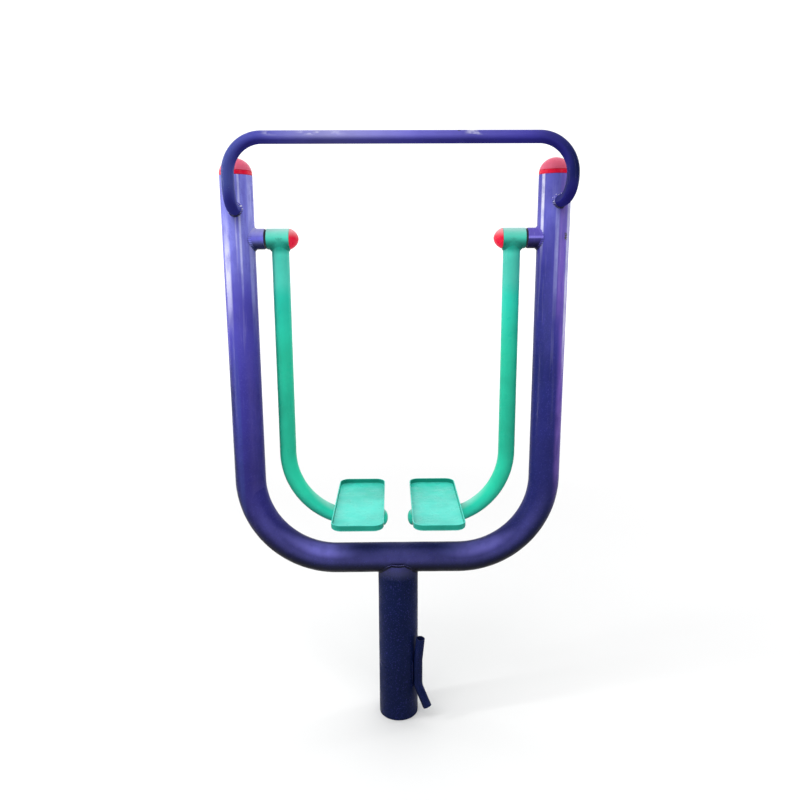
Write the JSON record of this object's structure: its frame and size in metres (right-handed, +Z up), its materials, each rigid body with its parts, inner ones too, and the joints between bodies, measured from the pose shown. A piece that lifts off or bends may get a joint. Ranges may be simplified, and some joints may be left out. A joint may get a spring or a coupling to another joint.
{
  "type": "outdoor air walker",
  "caption": "Park air walker: a bent tube frame on a ground post, a handrail, and swinging arms with foot trays on ball bearings.",
  "frame": {"origin": "centre of the ground post's lower end, where the footing holds it", "axes": "+Z up; X runs from post to post, along both axles; the handrail is on the -Y side, which the user faces"},
  "size_m": [0.961, 0.41, 1.7323],
  "materials": {
    "frame_paint": "gloss violet-blue paint, worn and streaked",
    "arm_paint": "gloss green paint",
    "pedal_paint": "gloss green paint, lighter from use",
    "red_plastic": "moulded, satin gloss",
    "black_rubber": "matte",
    "bearing_steel": "ground and polished",
    "zinc_steel": "bright zinc plate"
  },
  "bodies": {
    "frame": {"u_frame": "frame_paint", "ground_post": "frame_paint", "anchor_tube": "frame_paint", "handrail": "frame_paint", "right_post_cap": "red_plastic", "right_axle_stub": "frame_paint", "right_stub_disc": "zinc_steel", "right_axle": "zinc_steel", "right_outboard_bearing_inner_ring": "bearing_steel", "right_inboard_bearing_inner_ring": "bearing_steel", "right_spacer_sleeve": "zinc_steel", "right_axle_washer": "zinc_steel", "right_axle_nut": "zinc_steel", "left_post_cap": "red_plastic", "left_axle_stub": "frame_paint", "left_stub_disc": "zinc_steel", "left_axle": "zinc_steel", "left_outboard_bearing_inner_ring": "bearing_steel", "left_inboard_bearing_inner_ring": "bearing_steel", "left_spacer_sleeve": "zinc_steel", "left_axle_washer": "zinc_steel", "left_axle_nut": "zinc_steel"},
    "right_arm": {"right_hub": "arm_paint", "right_outboard_bearing_outer_ring": "bearing_steel", "right_inboard_bearing_outer_ring": "bearing_steel", "right_dust_seal": "black_rubber", "right_hub_cap": "red_plastic", "right_arm_tube": "arm_paint", "right_arm_end_plug": "arm_paint", "right_pedal_saddle": "arm_paint", "right_pedal": "pedal_paint"},
    "left_arm": {"left_hub": "arm_paint", "left_outboard_bearing_outer_ring": "bearing_steel", "left_inboard_bearing_outer_ring": "bearing_steel", "left_dust_seal": "black_rubber", "left_hub_cap": "red_plastic", "left_arm_tube": "arm_paint", "left_arm_end_plug": "arm_paint", "left_pedal_saddle": "arm_paint", "left_pedal": "pedal_paint"},
    "right_outboard_cage": {"right_outboard_ball_cage": "bearing_steel"},
    "right_inboard_cage": {"right_inboard_ball_cage": "bearing_steel"},
    "left_outboard_cage": {"left_outboard_ball_cage": "bearing_steel"},
    "left_inboard_cage": {"left_inboard_ball_cage": "bearing_steel"}
  },
  "joints": [
    {"name": "right_arm_swing", "type": "hinge", "parent": "frame", "child": "right_arm", "pos_m": [0.3265, 0, 1.466], "axis": [1, 0, 0], "range_deg": [-55, 55]},
    {"name": "left_arm_swing", "type": "hinge", "parent": "frame", "child": "left_arm", "pos_m": [-0.3265, 0, 1.466], "axis": [1, 0, 0], "range_deg": [-55, 55]},
    {"name": "right_outboard_cage_roll", "type": "hinge", "parent": "frame", "child": "right_outboard_cage", "pos_m": [0.348, 0, 1.466], "axis": [1, 0, 0], "range_deg": [-35, 35]},
    {"name": "right_inboard_cage_roll", "type": "hinge", "parent": "frame", "child": "right_inboard_cage", "pos_m": [0.307, 0, 1.466], "axis": [1, 0, 0], "range_deg": [-35, 35]},
    {"name": "left_outboard_cage_roll", "type": "hinge", "parent": "frame", "child": "left_outboard_cage", "pos_m": [-0.348, 0, 1.466], "axis": [1, 0, 0], "range_deg": [-35, 35]},
    {"name": "left_inboard_cage_roll", "type": "hinge", "parent": "frame", "child": "left_inboard_cage", "pos_m": [-0.307, 0, 1.466], "axis": [1, 0, 0], "range_deg": [-35, 35]}
  ],
  "couplings": [
    {"joint": "right_outboard_cage_roll", "follows": "right_arm_swing", "ratio": 0.6185},
    {"joint": "right_inboard_cage_roll", "follows": "right_arm_swing", "ratio": 0.6185},
    {"joint": "left_outboard_cage_roll", "follows": "left_arm_swing", "ratio": 0.6185},
    {"joint": "left_inboard_cage_roll", "follows": "left_arm_swing", "ratio": 0.6185}
  ]
}
